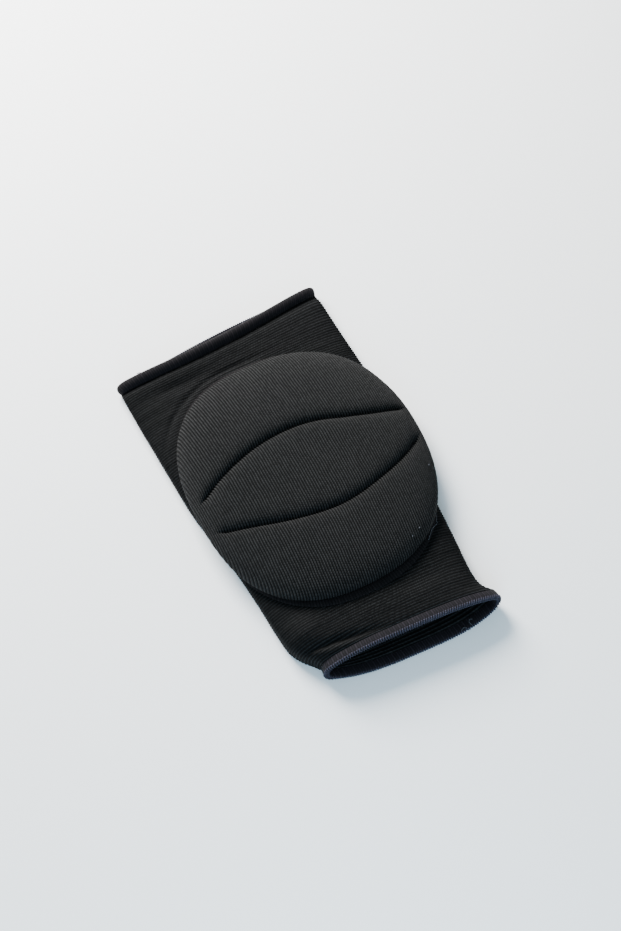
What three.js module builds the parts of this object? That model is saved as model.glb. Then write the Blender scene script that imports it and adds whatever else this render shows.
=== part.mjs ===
// A knitted knee pad lying on its back layer: a tapered tube of elastic knit with a rolled hem at
// each mouth, and on its front layer a ribbed foam pad held by a flat sewn flange.
// Millimetres: X across the leg, Y from the shin to the thigh, Z up from the surface it lies on.
import * as THREE from 'three';
import { ParametricGeometry } from 'three/addons/geometries/ParametricGeometry.js';

// Sleeve
const overallLength = 250;
const thighWidth = 148;
const shinWidth = 115;
const kneeHeight = 15;
const thighMouthHeight = 10.5;
const shinMouthHeight = 20;
const sleeveWall = 1.8;
const foldRadius = 4.6;
const archPower = 2.4;
const shinArchPower = 3.2;

// Mouths: the edge slants from side to side, and the back layer reaches past the front layer
const mouthSlant = 3.9;
const thighBackReach = 4.5;
const thighFrontSetback = 4;
const shinBackReach = 8.5;
const shinFrontSetback = 0.3;
const mouthReach = 44;

// Rolled hems
const hemThickness = 3.6;
const hemHeight = 5.7;
const hemRoundness = 0.55;

// Pad: its egg-shaped outline, its dome and the foot that it stands on
const padWidth = 153;
const padLength = 176;
const padThickness = 18;
const padAside = 1;
const padForward = 0.6;
const padShear = 4.8;
const padBend = -4;
const padTaper = 0.04;
const padPower = 2.37;
const domePower = 3.1;
const edgePower = 2.2;
const footWidth = 141;
const footLength = 170;
const footHeight = 2;
const rimRise = 1.6;

// Sewn channels across the pad
const channelDepth = 4.6;
const channelShoulder = 3.4;

// Flat flange that sews the pad to the front layer
const seamSideWidth = 3.2;
const seamEndWidth = 7;
const seamThickness = 1.1;
const seamToFold = 0.8;

// Clearances between the pieces
const hemClearance = 0.3;
const padClearance = 0.4;
const seamClearance = 0.35;

const sleeveLength = overallLength - 2 * (hemHeight + hemClearance);

// Sections of the sleeve from the shin mouth, at 0, to the thigh mouth, at 1.
// taper runs from the shin width (0) to the thigh width (1), shinOpen and thighOpen from the
// height at the knee (0) to the height of that mouth (1), and lean is a share of the shin width.
const sleeveSections = [
  { at: 0.00, taper: 0.00, shinOpen: 1.00, thighOpen: 0.00, lean: -0.002 },
  { at: 0.05, taper: 0.04, shinOpen: 0.92, thighOpen: 0.00, lean: -0.060 },
  { at: 0.09, taper: 0.14, shinOpen: 0.80, thighOpen: 0.00, lean: -0.078 },
  { at: 0.15, taper: 0.23, shinOpen: 0.54, thighOpen: 0.00, lean: -0.073 },
  { at: 0.25, taper: 0.37, shinOpen: 0.18, thighOpen: 0.00, lean: -0.054 },
  { at: 0.35, taper: 0.55, shinOpen: 0.02, thighOpen: 0.00, lean: -0.035 },
  { at: 0.46, taper: 0.78, shinOpen: 0.00, thighOpen: 0.00, lean: -0.020 },
  { at: 0.57, taper: 0.96, shinOpen: 0.00, thighOpen: 0.00, lean: -0.015 },
  { at: 0.75, taper: 0.98, shinOpen: 0.00, thighOpen: 0.06, lean: -0.010 },
  { at: 0.90, taper: 0.99, shinOpen: 0.00, thighOpen: 0.58, lean: -0.004 },
  { at: 1.00, taper: 1.00, shinOpen: 0.00, thighOpen: 1.00, lean: 0.001 },
];

// Dents (positive) and puffs (negative) of the front layer: at and reachAlong are shares of the
// sleeve's length, across and reachAcross of its half width, depth of the height at the knee,
// and turn is in degrees from straight across.
const sleeveDents = [
  { at: 0.034, across: -0.68, reachAlong: 0.013, reachAcross: 0.36, turn: -10, depth: 0.14 },
  { at: 0.105, across: -0.78, reachAlong: 0.045, reachAcross: 0.14, turn: 4, depth: -0.12 },
  { at: 0.100, across: 0.42, reachAlong: 0.030, reachAcross: 0.30, turn: -6, depth: 0.07 },
  { at: 0.930, across: -0.50, reachAlong: 0.020, reachAcross: 0.34, turn: -2, depth: 0.06 },
];

// The two sewn channels, from the pad's left rim, at 0, to its right rim, at 1. Each column is a
// height on the pad's unit outline, from -1 at its shin end to 1 at its thigh end.
const channelPath = [
  { at: 0.00, lower: -0.110, upper: 0.120 },
  { at: 0.15, lower: -0.235, upper: 0.205 },
  { at: 0.32, lower: -0.345, upper: 0.288 },
  { at: 0.48, lower: -0.398, upper: 0.310 },
  { at: 0.60, lower: -0.395, upper: 0.283 },
  { at: 0.72, lower: -0.345, upper: 0.213 },
  { at: 0.86, lower: -0.250, upper: 0.155 },
  { at: 1.00, lower: -0.085, upper: 0.140 },
];
const channelEndFade = { from: 0.86, to: 0.985 };

// Steps of the faceted surfaces
const sleeveTurns = { bottom: 5, fold: 4, arch: 30 };
const sleeveRows = 22;
const hemSides = 8;
const lobeRows = { shin: 9, middle: 8, thigh: 11 };
const padColumns = { top: 30, wall: 2, foot: 1, under: 14 };
const seamTurns = 64;
const seamSides = 6;

const { clamp, degToRad, lerp, smoothstep } = THREE.MathUtils;

// Table lookups

// The slope of a column at one row, from its neighbours
function slopeAt(rows, column, index) {
  const before = rows[Math.max(index - 1, 0)];
  const after = rows[Math.min(index + 1, rows.length - 1)];
  return (after[column] - before[column]) / (after.at - before.at);
}

// A smooth curve through one column of a table
function readTable(rows, column, at) {
  const place = clamp(at, 0, 1);
  let index = 0;
  while (index < rows.length - 2 && rows[index + 1].at < place) {
    index += 1;
  }
  const low = rows[index];
  const high = rows[index + 1];
  const span = high.at - low.at;
  const t = (place - low.at) / span;
  const rise = t * t * (3 - 2 * t);
  const leave = t * (1 - t) * (1 - t) * span * slopeAt(rows, column, index);
  const arrive = t * t * (t - 1) * span * slopeAt(rows, column, index + 1);
  return lerp(low[column], high[column], rise) + leave + arrive;
}

// Sleeve surface

// The cross-section at one place along the sleeve, moved in from its outer face by inset
function sleeveSection(at, inset) {
  const shinOpen = readTable(sleeveSections, 'shinOpen', at);
  const thighOpen = readTable(sleeveSections, 'thighOpen', at);
  const mouthLift = (hemThickness - sleeveWall) / 2;
  const lift = mouthLift * (smoothstep(0.12 - at, 0, 0.12) + smoothstep(at - 0.88, 0, 0.12));
  const crest = kneeHeight
    + (shinMouthHeight - kneeHeight) * shinOpen
    + (thighMouthHeight - kneeHeight) * thighOpen
    + lift;
  const width = lerp(shinWidth, thighWidth, readTable(sleeveSections, 'taper', at));
  return {
    at,
    centre: readTable(sleeveSections, 'lean', at) * shinWidth,
    half: width / 2 - inset,
    floor: lift + inset,
    crest: crest - inset,
    radius: foldRadius - inset,
    power: lerp(archPower, shinArchPower, shinOpen ** 2),
  };
}

// How much a place on the front layer sinks in the dents, or rises in the puffs
function dentDepth(at, across) {
  let depth = 0;
  for (const dent of sleeveDents) {
    const angle = degToRad(dent.turn);
    const along = (at - dent.at) * sleeveLength;
    const sideways = (across - dent.across) * thighWidth / 2;
    const alongDent = along * Math.cos(angle) - sideways * Math.sin(angle);
    const acrossDent = along * Math.sin(angle) + sideways * Math.cos(angle);
    const reach = (alongDent / (dent.reachAlong * sleeveLength)) ** 2
      + (acrossDent / (dent.reachAcross * thighWidth / 2)) ** 2;
    depth += dent.depth * kneeHeight * Math.exp(-reach);
  }
  return depth;
}

// The height of the front layer at a share of the half width across
function archHeight(section, across) {
  const fold = section.floor + section.radius;
  const share = Math.min(Math.abs(across), 1);
  const arch = (1 - share ** section.power) ** (1 / section.power);
  const sink = dentDepth(section.at, across) * smoothstep(arch, 0, 0.6);
  return fold + (section.crest - fold) * arch - sink;
}

// Once round a section from the middle of its underside, which is flat between the side folds
function sectionPoint(section, turn) {
  const { bottom, fold, arch } = sleeveTurns;
  const step = turn * (2 * bottom + 2 * fold + arch);
  const { half, radius, floor } = section;
  const flat = half - radius;
  if (step < bottom) {
    return { across: (step / bottom) * flat / half, z: floor };
  }
  if (step < bottom + fold) {
    const angle = (step - bottom) / fold * Math.PI / 2;
    return { across: (flat + radius * Math.sin(angle)) / half, z: floor + radius * (1 - Math.cos(angle)) };
  }
  if (step < bottom + fold + arch) {
    const angle = (step - bottom - fold) / arch * Math.PI;
    const across = Math.sign(Math.cos(angle)) * Math.abs(Math.cos(angle)) ** (2 / section.power);
    return { across, z: archHeight(section, across) };
  }
  const mirrored = sectionPoint(section, 1 - turn);
  return { across: -mirrored.across, z: mirrored.z };
}

// How far the slant and the layers move a place along the leg, most at the mouths
function mouthShift(section, across, z) {
  const high = clamp((z - section.floor) / (section.crest - section.floor), 0, 1);
  const round = 1 - across * across;
  const fromShin = section.at * sleeveLength;
  const fromThigh = sleeveLength - fromShin;
  const nearShin = Math.max(1 - fromShin / mouthReach, 0) ** 2;
  const nearThigh = Math.max(1 - fromThigh / mouthReach, 0) ** 2;
  const shin = -mouthSlant * across + lerp(-shinBackReach, shinFrontSetback, high) * round;
  const thigh = mouthSlant * across + lerp(thighBackReach, -thighFrontSetback, high) * round;
  return nearShin * shin + nearThigh * thigh;
}

// A point of the sleeve's cloth, inset from its outer face
function sleevePoint(at, turn, inset, target) {
  const section = sleeveSection(at, inset);
  const { across, z } = sectionPoint(section, turn);
  const y = (at - 0.5) * sleeveLength + mouthShift(section, across, z);
  return target.set(section.centre + across * section.half, y, z);
}

// The front layer under a place of the plan: its section, the share across and the height
function frontLayer(x, y) {
  let found = { section: sleeveSection(y / sleeveLength + 0.5, 0), across: 0, z: 0 };
  for (let pass = 0; pass < 5; pass += 1) {
    const { section } = found;
    const across = clamp((x - section.centre) / section.half, -1, 1);
    const z = archHeight(section, across);
    const at = clamp((y - mouthShift(section, across, z)) / sleeveLength + 0.5, 0, 1);
    found = { section: sleeveSection(at, 0), across, z };
  }
  return found;
}

// A place of the plan, moved in where it would come closer than margin to a side fold
function keepOnLayer(x, y, margin) {
  const { section } = frontLayer(x, y);
  const limit = section.half - margin;
  const kept = clamp(x, section.centre - limit, section.centre + limit);
  return { x: kept, y, z: frontLayer(kept, y).z };
}

// Once round the loops of a closed surface, the last step is the first one again
function wrap(share) {
  return share >= 1 ? 0 : share;
}

function makeSleeve() {
  const turns = 2 * sleeveTurns.bottom + 2 * sleeveTurns.fold + sleeveTurns.arch;
  const loopSteps = 2 * sleeveRows + 2;
  const surface = (u, v, target) => {
    const step = Math.round(wrap(v) * loopSteps);
    const inside = step <= sleeveRows;
    const row = inside ? step : loopSteps - 1 - step;
    return sleevePoint(row / sleeveRows, wrap(u), inside ? sleeveWall : 0, target);
  };
  return new ParametricGeometry(surface, turns, loopSteps);
}

// A rolled hem: a rounded bar that follows the mouth's edge all round
function makeHem(at) {
  const turns = 2 * sleeveTurns.bottom + 2 * sleeveTurns.fold + sleeveTurns.arch;
  const outward = at === 0 ? -1 : 1;
  const outer = new THREE.Vector3();
  const inner = new THREE.Vector3();
  const rounded = (value) => Math.sign(value) * Math.abs(value) ** hemRoundness;
  const surface = (u, v, target) => {
    sleevePoint(at, wrap(u), 0, outer);
    sleevePoint(at, wrap(u), sleeveWall, inner);
    const angle = -2 * Math.PI * wrap(v);
    const middle = outer.clone().add(inner).multiplyScalar(0.5);
    const normal = outer.clone().sub(inner).setY(0).normalize();
    const centre = outward * (hemClearance + hemHeight / 2);
    target.copy(middle).addScaledVector(normal, rounded(Math.cos(angle)) * hemThickness / 2);
    target.y = middle.y + centre + rounded(Math.sin(angle)) * hemHeight / 2;
    return target;
  };
  return new ParametricGeometry(surface, turns, hemSides);
}

// Pad surface, over a unit outline that its rim, its foot and its flange all follow

// Half the chord of the unit outline at a height
function outlineHalf(height) {
  return (1 - Math.min(Math.abs(height), 1) ** padPower) ** (1 / padPower);
}

// A place of the unit outline in the plan, for an outline of the given width and length
function padPlan(across, height, width, length) {
  return {
    x: padAside + across * width / 2 * (1 + padTaper * height) + padShear * height + padBend * height ** 2,
    y: padForward + height * length / 2,
  };
}

// A place of the pad's underside, seated on the front layer clear of the flange
function padFoot(across, height, rise, target) {
  const plan = padPlan(across, height, footWidth, footLength);
  const margin = seamToFold + seamSideWidth + seamClearance;
  const seat = keepOnLayer(plan.x, plan.y, margin);
  return target.set(seat.x, seat.y, seat.z + padClearance + rise);
}

// How far the channels sink a place of the pad's top
function channelSink(across, height) {
  const at = (across + 1) / 2;
  const fade = 1 - smoothstep(Math.abs(across), channelEndFade.from, channelEndFade.to);
  let sink = 0;
  for (const channel of ['lower', 'upper']) {
    const away = Math.abs(height - readTable(channelPath, channel, at)) * padLength / 2;
    sink += channelDepth * fade * Math.exp(-away / channelShoulder);
  }
  return sink;
}

// A place of the pad's top: a crowned dome with a rounded edge, less the channels
function padTop(across, height, target) {
  const reach = Math.abs(across) ** padPower + Math.abs(height) ** padPower;
  const radius = Math.min(reach ** (1 / padPower), 1);
  const dome = (1 - radius ** domePower) ** (1 / edgePower);
  const rim = footHeight + rimRise;
  const top = rim + (padThickness - rim) * dome - channelSink(across, height);
  const { z } = padFoot(across, height, top, target);
  const plan = padPlan(across, height, padWidth, padLength);
  return target.set(plan.x, plan.y, z);
}

// The pad's side, from the top of its foot, at climb 0, out and up to its rim, at climb 1
function padWall(across, height, climb, target) {
  const low = padFoot(across, height, footHeight, new THREE.Vector3());
  const high = padTop(across, height, new THREE.Vector3());
  const out = Math.sin(climb * Math.PI / 2);
  const up = 1 - Math.cos(climb * Math.PI / 2);
  return target.set(lerp(low.x, high.x, out), lerp(low.y, high.y, out), lerp(low.z, high.z, up));
}

// The rows that cross the pad: two of them lie in the channels, and they are closest there and
// at the pad's two ends. blend runs from one edge of a lobe, at 0, to the other, at 1.
function padRows() {
  const lobes = [
    { from: 'shin', to: 'lower', rows: lobeRows.shin },
    { from: 'lower', to: 'upper', rows: lobeRows.middle },
    { from: 'upper', to: 'thigh', rows: lobeRows.thigh },
  ];
  const rows = [];
  for (const { from, to, rows: count } of lobes) {
    for (let row = 0; row < count; row += 1) {
      rows.push({ from, to, blend: (1 - Math.cos(row / count * Math.PI)) / 2 });
    }
  }
  rows.push({ from: 'thigh', to: 'thigh', blend: 0 });
  return rows;
}

// The height of a lobe's edge at a place from the left rim, at 0, to the right rim, at 1
function lobeEdge(edge, at) {
  if (edge === 'shin') {
    return -1;
  }
  return edge === 'thigh' ? 1 : readTable(channelPath, edge, at);
}

// A place on a row of the pad, at a share from its left end, at -1, to its right end, at 1
function onRow(row, share) {
  const heightAt = (at) => lerp(lobeEdge(row.from, at), lobeEdge(row.to, at), row.blend);
  const end = heightAt(share < 0 ? 0 : 1);
  return { across: share * outlineHalf(end), height: heightAt((share + 1) / 2) };
}

function makePad() {
  const rows = padRows();
  const { top, wall, foot, under } = padColumns;
  const columns = top + 2 * (wall + foot) + under;
  const surface = (u, v, target) => {
    const row = rows[Math.round(v * (rows.length - 1))];
    let step = Math.round(wrap(u) * columns);
    if (step <= top) {
      const { across, height } = onRow(row, Math.sin((step / top - 0.5) * Math.PI));
      return padTop(across, height, target);
    }
    step -= top;
    const right = onRow(row, 1);
    if (step <= wall) {
      return padWall(right.across, right.height, 1 - step / wall, target);
    }
    step -= wall;
    if (step <= foot) {
      return padFoot(right.across, right.height, footHeight * (1 - step / foot), target);
    }
    step -= foot;
    if (step <= under) {
      const { across, height } = onRow(row, 1 - 2 * step / under);
      return padFoot(across, height, 0, target);
    }
    step -= under;
    const left = onRow(row, -1);
    if (step <= foot) {
      return padFoot(left.across, left.height, footHeight * step / foot, target);
    }
    step -= foot;
    return padWall(left.across, left.height, step / wall, target);
  };
  return new ParametricGeometry(surface, columns, rows.length - 1);
}

// The cover's flange: a flat ring on the front layer, just outside the pad's foot
function makePadSeam() {
  const edge = (across, height, side, end, margin) => {
    const plan = padPlan(across, height, footWidth + 2 * side, footLength + 2 * end);
    return keepOnLayer(plan.x, plan.y, margin);
  };
  const rounded = (value) => Math.sign(value) * Math.abs(value) ** (2 / padPower);
  const surface = (u, v, target) => {
    const angle = 2 * Math.PI * wrap(u);
    const turn = 2 * Math.PI * wrap(v);
    const across = rounded(Math.cos(angle));
    const height = rounded(Math.sin(angle));
    const out = (1 + Math.cos(turn)) / 2;
    const up = (1 + Math.sin(turn)) / 2;
    const side = seamClearance + out * seamSideWidth;
    const end = seamClearance + out * seamEndWidth;
    const place = edge(across, height, side, end, seamToFold + (1 - out) * seamSideWidth);
    return target.set(place.x, place.y, place.z + seamClearance + up * seamThickness);
  };
  return new ParametricGeometry(surface, seamTurns, seamSides);
}

// Finishes
const knit = { color: 0x26272a, roughness: 0.95, metalness: 0 };
const ribbedKnit = { color: 0x2c2d2f, roughness: 0.92, metalness: 0 };
const hemKnit = { color: 0x24262c, roughness: 0.9, metalness: 0 };

function addPiece(group, name, geometry, finish) {
  const piece = new THREE.Mesh(geometry, new THREE.MeshStandardMaterial(finish));
  piece.name = name;
  group.add(piece);
}

const pieces = new THREE.Group();
addPiece(pieces, 'sleeve', makeSleeve(), knit);
addPiece(pieces, 'thigh_hem', makeHem(1), hemKnit);
addPiece(pieces, 'shin_hem', makeHem(0), hemKnit);
addPiece(pieces, 'pad', makePad(), ribbedKnit);
addPiece(pieces, 'pad_seam', makePadSeam(), hemKnit);

// The origin is the middle of the underside's box
const box = new THREE.Box3().setFromObject(pieces);
const middle = box.getCenter(new THREE.Vector3());
pieces.position.set(-middle.x, -middle.y, -box.min.z);

const kneePad = new THREE.Group();
kneePad.add(pieces);

export default kneePad;
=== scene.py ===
# %% [markdown]
# A knitted knee pad lies on its back layer with its foam pad up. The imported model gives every
# piece its place and size in metres: X across the leg, Y from the shin to the thigh, Z up.
# It is loaded first, and its box is kept so that the dressed pieces can be held against it.

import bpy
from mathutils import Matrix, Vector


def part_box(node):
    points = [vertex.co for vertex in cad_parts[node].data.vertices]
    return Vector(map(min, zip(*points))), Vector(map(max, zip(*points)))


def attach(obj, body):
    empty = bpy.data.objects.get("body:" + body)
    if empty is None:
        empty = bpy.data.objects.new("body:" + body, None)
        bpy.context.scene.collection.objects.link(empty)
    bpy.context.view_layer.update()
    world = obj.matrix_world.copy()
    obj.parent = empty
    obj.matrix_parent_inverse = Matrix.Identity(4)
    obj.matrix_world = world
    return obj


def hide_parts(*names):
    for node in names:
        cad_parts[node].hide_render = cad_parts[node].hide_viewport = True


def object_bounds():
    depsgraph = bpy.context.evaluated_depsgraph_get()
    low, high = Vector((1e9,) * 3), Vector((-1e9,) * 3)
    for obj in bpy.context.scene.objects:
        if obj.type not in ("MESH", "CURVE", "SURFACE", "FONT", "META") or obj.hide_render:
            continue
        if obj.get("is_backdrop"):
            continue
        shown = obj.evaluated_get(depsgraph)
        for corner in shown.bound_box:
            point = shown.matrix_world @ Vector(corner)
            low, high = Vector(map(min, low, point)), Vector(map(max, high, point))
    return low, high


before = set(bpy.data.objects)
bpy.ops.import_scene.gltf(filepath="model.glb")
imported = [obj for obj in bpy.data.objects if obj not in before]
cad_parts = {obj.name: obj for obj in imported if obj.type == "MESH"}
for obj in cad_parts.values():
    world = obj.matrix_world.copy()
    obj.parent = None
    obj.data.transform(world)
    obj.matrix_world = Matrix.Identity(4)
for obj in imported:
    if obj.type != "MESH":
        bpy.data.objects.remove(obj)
cad_box = [list(map(float, corner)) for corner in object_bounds()]
print("pieces to dress:", sorted(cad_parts))

# %% Tools
import math

import bpy
import numpy as np
from mathutils import Vector
from mathutils.bvhtree import BVHTree

MM = 0.001
rng = np.random.default_rng(11)
print("Blender", bpy.app.version_string)

# %% [markdown]
# On the real object the sleeve is a knitted tube that lies flat, held open a little by its hems. A
# cloth simulation could drop a tube on a table, but it wouldn't fall into the folds of this one. So
# it is built as a boat builder lofts a hull. Each size is a real one, in metres. A table row gives
# one cross-section as shares of the sizes, and a smooth curve runs through each column.

# %% Sizes of the sleeve
HEM_HEIGHT = 5.7 * MM
HEM_THICKNESS = 3.6 * MM
HEM_GAP = 0.3 * MM
SLEEVE_LENGTH = 250 * MM - 2 * (HEM_HEIGHT + HEM_GAP)
THIGH_WIDTH = 148 * MM
SHIN_WIDTH = 115 * MM
KNEE_HEIGHT = 15 * MM
THIGH_MOUTH_HEIGHT = 10.5 * MM
SHIN_MOUTH_HEIGHT = 20 * MM
WALL = 1.8 * MM
FOLD_RADIUS = 4.6 * MM
ARCH_POWER = 2.4
SHIN_ARCH_POWER = 3.2
SHIN_SLANT = 3.9 * MM
THIGH_SLANT = 4.5 * MM
THIGH_FORWARD = 2.4 * MM
THIGH_BACK_REACH = 4.6 * MM
THIGH_FRONT_SETBACK = 4.3 * MM
SHIN_BACK_REACH = 7.8 * MM
SHIN_FRONT_SETBACK = 0.3 * MM
MOUTH_REACH = 44 * MM
THIGH_ROUND_OFF, SHIN_ROUND_OFF = 2.0, 3.2
print("sleeve between the hems in mm:", round(SLEEVE_LENGTH / MM, 1))

# %% The sections and dents of the sleeve, as shares of its sizes

# Columns: at, taper, shin open, thigh open, lean
SECTIONS = np.array([
    (0.00, 0.00, 1.00, 0.00, -0.002),
    (0.02, -0.06, 0.97, 0.00, -0.033),
    (0.05, 0.05, 0.92, 0.00, -0.058),
    (0.09, 0.20, 0.80, 0.00, -0.069),
    (0.15, 0.31, 0.54, 0.00, -0.062),
    (0.25, 0.42, 0.18, 0.00, -0.047),
    (0.35, 0.55, 0.02, 0.00, -0.035),
    (0.46, 0.78, 0.00, 0.00, -0.020),
    (0.57, 0.96, 0.00, 0.00, -0.015),
    (0.75, 0.98, 0.00, 0.06, -0.010),
    (0.90, 0.99, 0.00, 0.58, -0.004),
    (1.00, 1.00, 0.00, 1.00, 0.001),
])
TAPER, SHIN_OPEN, THIGH_OPEN, LEAN = 1, 2, 3, 4

# Columns: at, across, reach along, reach across, turn in degrees, depth
DENTS = [
    (0.034, -0.68, 0.013, 0.36, -10, 0.14),
    (0.105, -0.78, 0.045, 0.14, 4, -0.12),
    (0.100, 0.42, 0.030, 0.30, -6, 0.07),
    (0.930, -0.50, 0.020, 0.34, -2, 0.06),
]
print("sections:", len(SECTIONS), "dents:", len(DENTS))

# %% Reading a table smoothly


def read_table(rows, column, at):
    """A smooth curve through one column of a table, read at any places."""
    places, values = rows[:, 0], rows[:, column]
    at = np.clip(at, 0, 1)
    low = np.clip(np.searchsorted(places, at) - 1, 0, len(rows) - 2)
    before = np.maximum(np.arange(len(rows)) - 1, 0)
    after = np.minimum(np.arange(len(rows)) + 1, len(rows) - 1)
    slopes = (values[after] - values[before]) / (places[after] - places[before])
    span = places[low + 1] - places[low]
    t = (at - places[low]) / span
    rise = values[low] + (values[low + 1] - values[low]) * t * t * (3 - 2 * t)
    leave = t * (1 - t) ** 2 * span * slopes[low]
    arrive = t * t * (t - 1) * span * slopes[low + 1]
    return rise + leave + arrive


def smoothstep(value, start, end):
    t = np.clip((value - start) / (end - start), 0, 1)
    return t * t * (3 - 2 * t)


print("knee section's taper:", round(float(read_table(SECTIONS, TAPER, 0.5)), 3))

# %% [markdown]
# A section of the sleeve is flat below, turns up in a small fold at each side, and bridges over in
# a flattened arch. The arch is a superellipse, because cloth that a thick pad holds out leaves the
# fold steeply and then runs almost level. The same function gives the outer and the inner face.

# %% The sleeve's form

# Shares of one turn: half of the flat underside, one fold, and the whole arch
BOTTOM, FOLD, ARCH = 0.105, 0.085, 0.62
# Over this share of the length the wall rises to the middle of the thicker hem
LIFT_REACH = 0.12


def section(at, inset=0.0):
    """The measures of a cross-section, moved in from the outer face by inset."""
    lift = (HEM_THICKNESS - WALL) / 2
    lift = lift * (smoothstep(LIFT_REACH - at, 0, LIFT_REACH)
                   + smoothstep(at - (1 - LIFT_REACH), 0, LIFT_REACH))
    crest = (KNEE_HEIGHT + lift
             + (SHIN_MOUTH_HEIGHT - KNEE_HEIGHT) * read_table(SECTIONS, SHIN_OPEN, at)
             + (THIGH_MOUTH_HEIGHT - KNEE_HEIGHT) * read_table(SECTIONS, THIGH_OPEN, at))
    width = SHIN_WIDTH + (THIGH_WIDTH - SHIN_WIDTH) * read_table(SECTIONS, TAPER, at)
    power = (ARCH_POWER
             + (SHIN_ARCH_POWER - ARCH_POWER) * read_table(SECTIONS, SHIN_OPEN, at) ** 2)
    return {"at": at, "centre": read_table(SECTIONS, LEAN, at) * SHIN_WIDTH,
            "half": width / 2 - inset, "floor": lift + inset, "crest": crest - inset,
            "radius": FOLD_RADIUS - inset, "power": power}


def dent_depth(at, across):
    depth = 0.0
    for place, side, reach_along, reach_across, turn, share in DENTS:
        angle = math.radians(turn)
        along = (at - place) * SLEEVE_LENGTH
        sideways = (across - side) * THIGH_WIDTH / 2
        first = along * math.cos(angle) - sideways * math.sin(angle)
        second = along * math.sin(angle) + sideways * math.cos(angle)
        first = first / (reach_along * SLEEVE_LENGTH)
        second = second / (reach_across * THIGH_WIDTH / 2)
        depth = depth + share * KNEE_HEIGHT * np.exp(-first ** 2 - second ** 2)
    return depth


def arch_height(cut, across):
    fold = cut["floor"] + cut["radius"]
    share = np.minimum(np.abs(across), 1)
    arch = np.maximum(1 - share ** cut["power"], 0) ** (1 / cut["power"])
    sink = dent_depth(cut["at"], across) * smoothstep(arch, 0, 0.6)
    return fold + (cut["crest"] - fold) * arch - sink


def section_point(cut, turn):
    """Once round a section from the middle of its underside: the share across, and the height."""
    mirrored = turn > 0.5
    way = np.where(mirrored, 1 - turn, turn)
    flat = cut["half"] - cut["radius"]
    low = way / BOTTOM * flat / cut["half"]
    bend = np.clip((way - BOTTOM) / FOLD, 0, 1) * math.pi / 2
    side = (flat + cut["radius"] * np.sin(bend)) / cut["half"]
    angle = np.clip((way - BOTTOM - FOLD) / ARCH, 0, 0.5) * math.pi
    over = np.clip(np.cos(angle), 0, 1) ** (2 / cut["power"])
    across = np.select([way < BOTTOM, way < BOTTOM + FOLD], [low, side], over)
    signed = np.where(mirrored, -across, across)
    rise = cut["floor"] + cut["radius"] * (1 - np.cos(bend))
    return signed, np.where(way < BOTTOM + FOLD, rise, arch_height(cut, signed))


def mouth_shift(cut, across, z):
    """How far the slant and the two layers move a place along the leg, most at the mouths."""
    high = np.clip((z - cut["floor"]) / (cut["crest"] - cut["floor"]), 0, 1)
    power = np.where(cut["at"] < 0.5, SHIN_ROUND_OFF, THIGH_ROUND_OFF)
    round_off = 1 - np.abs(across) ** power
    from_shin = cut["at"] * SLEEVE_LENGTH
    near_shin = np.maximum(1 - from_shin / MOUTH_REACH, 0) ** 2
    near_thigh = np.maximum(1 - (SLEEVE_LENGTH - from_shin) / MOUTH_REACH, 0) ** 2
    shin = -SHIN_BACK_REACH + (SHIN_FRONT_SETBACK + SHIN_BACK_REACH) * high
    thigh = THIGH_BACK_REACH - (THIGH_FRONT_SETBACK + THIGH_BACK_REACH) * high
    return (near_shin * (-SHIN_SLANT * across + shin * round_off)
            + near_thigh * (THIGH_SLANT * across + THIGH_FORWARD + thigh * round_off))


def sleeve_point(at, turn, inset=0.0):
    """A place on the sleeve: at along it from the shin, and turn once round it."""
    cut = section(at, inset)
    across, z = section_point(cut, turn)
    y = (at - 0.5) * SLEEVE_LENGTH + mouth_shift(cut, across, z)
    return np.stack([cut["centre"] + across * cut["half"], y, z], -1)


def front_layer(x, y):
    """The front layer's section and height over places of the plan."""
    cut = section(np.clip(y / SLEEVE_LENGTH + 0.5, 0, 1))
    z = 0.0
    # The shift depends on the height that it moves, and five rounds settle both
    for _ in range(5):
        across = np.clip((x - cut["centre"]) / cut["half"], -1, 1)
        z = arch_height(cut, across)
        at = np.clip((y - mouth_shift(cut, across, z)) / SLEEVE_LENGTH + 0.5, 0, 1)
        cut = section(at)
    return cut, z


def keep_on_layer(x, y, margin):
    """The places moved in to a margin from the folds, and the front layer's height there."""
    cut, _ = front_layer(x, y)
    kept = np.clip(x, cut["centre"] - cut["half"] + margin, cut["centre"] + cut["half"] - margin)
    return kept, front_layer(kept, y)[1]


print("half width at the knee in mm:", round(float(section(0.5)["half"]) / MM, 1))

# %% [markdown]
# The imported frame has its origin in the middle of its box, and the forms have theirs in the middle
# of the sleeve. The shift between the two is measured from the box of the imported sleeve, so it
# stays right when a size changes.

# %% The shift from the forms' own origin to the frame's

turns = np.linspace(0, 1, 400, endpoint=False)
places = np.linspace(0, 1, 200)
own = sleeve_point(places[:, None], turns[None, :]).reshape(-1, 3)
node_box = np.array([list(corner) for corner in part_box("sleeve")])
own_middle = (own.min(0) + own.max(0)) / 2
SHIFT = node_box.mean(0) - own_middle
SHIFT[2] = 0.0
print("shift in mm:", (SHIFT / MM).round(2), "box difference in mm:",
      ((node_box[1] - node_box[0] - own.max(0) + own.min(0)) / MM).round(2))

# %% [markdown]
# A subdivided tube could be pulled into shape with modifiers, but ribs of a fixed width need rows
# of points at known places. So each mesh is made from a grid of points, which can close on itself
# one way, as a tube does, or both ways, as a wall with two faces does. It also carries a pair of
# knit coordinates, the numbers of the rib and of the stitch along it, so that a material can draw
# each stitch where the knitting machine puts it.

# %% Making meshes from grids


def in_scene(name, data):
    """A new object in the scene, from a mesh, a lamp or a camera."""
    thing = bpy.data.objects.new(name, data)
    bpy.context.scene.collection.objects.link(thing)
    return thing


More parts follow.
